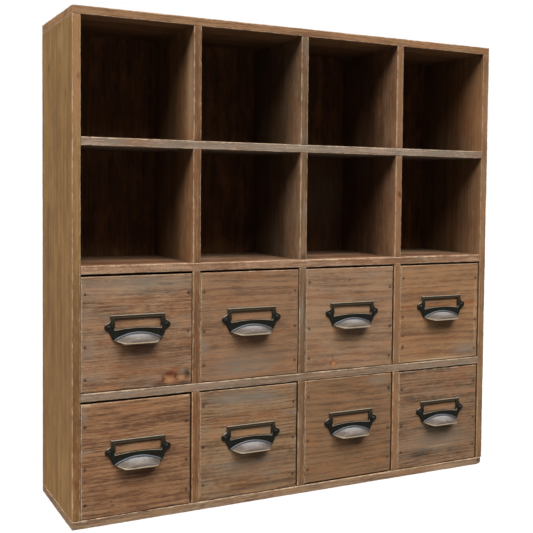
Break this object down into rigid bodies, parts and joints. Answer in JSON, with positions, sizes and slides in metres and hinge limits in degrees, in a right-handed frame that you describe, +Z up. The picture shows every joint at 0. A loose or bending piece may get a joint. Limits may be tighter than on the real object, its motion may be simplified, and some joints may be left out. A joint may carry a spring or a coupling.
{
  "type": "desktop drawer organizer",
  "caption": "Old-pine desktop organizer: a flat grid case with open pigeonholes above and small drawers below, each drawer with a cast cup pull and label frame",
  "frame": {"origin": "centre of the bottom board's underside, on which the organizer stands", "axes": "+X right, +Y back (the drawers face -Y), +Z up"},
  "size_m": [0.6, 0.1735, 0.606],
  "materials": {
    "case_wood": "waxed old pine with worn pale arrises",
    "back_panel_wood": "dark stained pine boards",
    "drawer_front_wood": "weathered pine, grey-washed and waxed",
    "drawer_wood": "plain sawn pine",
    "cast_metal": "blackened casting, rubbed bright on the cup and rims",
    "steel": "darkened steel"
  },
  "bodies": {
    "case": {"top_board": "case_wood", "bottom_board": "case_wood", "left_side": "case_wood", "right_side": "case_wood", "back_panel": "back_panel_wood", "upper_shelf": "case_wood", "middle_shelf": "case_wood", "lower_shelf": "case_wood", "upper_dividers": "case_wood", "lower_dividers": "case_wood", "case_nails": "steel"},
    "drawer_r3c1": {"drawer_r3c1_front": "drawer_front_wood", "drawer_r3c1_sides": "drawer_wood", "drawer_r3c1_back": "drawer_wood", "drawer_r3c1_floor": "drawer_wood", "drawer_r3c1_pull": "cast_metal", "drawer_r3c1_fasteners": "steel"},
    "drawer_r3c2": {"drawer_r3c2_front": "drawer_front_wood", "drawer_r3c2_sides": "drawer_wood", "drawer_r3c2_back": "drawer_wood", "drawer_r3c2_floor": "drawer_wood", "drawer_r3c2_pull": "cast_metal", "drawer_r3c2_fasteners": "steel"},
    "drawer_r3c3": {"drawer_r3c3_front": "drawer_front_wood", "drawer_r3c3_sides": "drawer_wood", "drawer_r3c3_back": "drawer_wood", "drawer_r3c3_floor": "drawer_wood", "drawer_r3c3_pull": "cast_metal", "drawer_r3c3_fasteners": "steel"},
    "drawer_r3c4": {"drawer_r3c4_front": "drawer_front_wood", "drawer_r3c4_sides": "drawer_wood", "drawer_r3c4_back": "drawer_wood", "drawer_r3c4_floor": "drawer_wood", "drawer_r3c4_pull": "cast_metal", "drawer_r3c4_fasteners": "steel"},
    "drawer_r4c1": {"drawer_r4c1_front": "drawer_front_wood", "drawer_r4c1_sides": "drawer_wood", "drawer_r4c1_back": "drawer_wood", "drawer_r4c1_floor": "drawer_wood", "drawer_r4c1_pull": "cast_metal", "drawer_r4c1_fasteners": "steel"},
    "drawer_r4c2": {"drawer_r4c2_front": "drawer_front_wood", "drawer_r4c2_sides": "drawer_wood", "drawer_r4c2_back": "drawer_wood", "drawer_r4c2_floor": "drawer_wood", "drawer_r4c2_pull": "cast_metal", "drawer_r4c2_fasteners": "steel"},
    "drawer_r4c3": {"drawer_r4c3_front": "drawer_front_wood", "drawer_r4c3_sides": "drawer_wood", "drawer_r4c3_back": "drawer_wood", "drawer_r4c3_floor": "drawer_wood", "drawer_r4c3_pull": "cast_metal", "drawer_r4c3_fasteners": "steel"},
    "drawer_r4c4": {"drawer_r4c4_front": "drawer_front_wood", "drawer_r4c4_sides": "drawer_wood", "drawer_r4c4_back": "drawer_wood", "drawer_r4c4_floor": "drawer_wood", "drawer_r4c4_pull": "cast_metal", "drawer_r4c4_fasteners": "steel"}
  },
  "joints": [
    {"name": "drawer_r3c1_slide", "type": "slide", "parent": "case", "child": "drawer_r3c1", "axis": [0, -1, 0], "range_m": [0, 0.115]},
    {"name": "drawer_r3c2_slide", "type": "slide", "parent": "case", "child": "drawer_r3c2", "axis": [0, -1, 0], "range_m": [0, 0.115]},
    {"name": "drawer_r3c3_slide", "type": "slide", "parent": "case", "child": "drawer_r3c3", "axis": [0, -1, 0], "range_m": [0, 0.115]},
    {"name": "drawer_r3c4_slide", "type": "slide", "parent": "case", "child": "drawer_r3c4", "axis": [0, -1, 0], "range_m": [0, 0.115]},
    {"name": "drawer_r4c1_slide", "type": "slide", "parent": "case", "child": "drawer_r4c1", "axis": [0, -1, 0], "range_m": [0, 0.115]},
    {"name": "drawer_r4c2_slide", "type": "slide", "parent": "case", "child": "drawer_r4c2", "axis": [0, -1, 0], "range_m": [0, 0.115]},
    {"name": "drawer_r4c3_slide", "type": "slide", "parent": "case", "child": "drawer_r4c3", "axis": [0, -1, 0], "range_m": [0, 0.115]},
    {"name": "drawer_r4c4_slide", "type": "slide", "parent": "case", "child": "drawer_r4c4", "axis": [0, -1, 0], "range_m": [0, 0.115]}
  ]
}
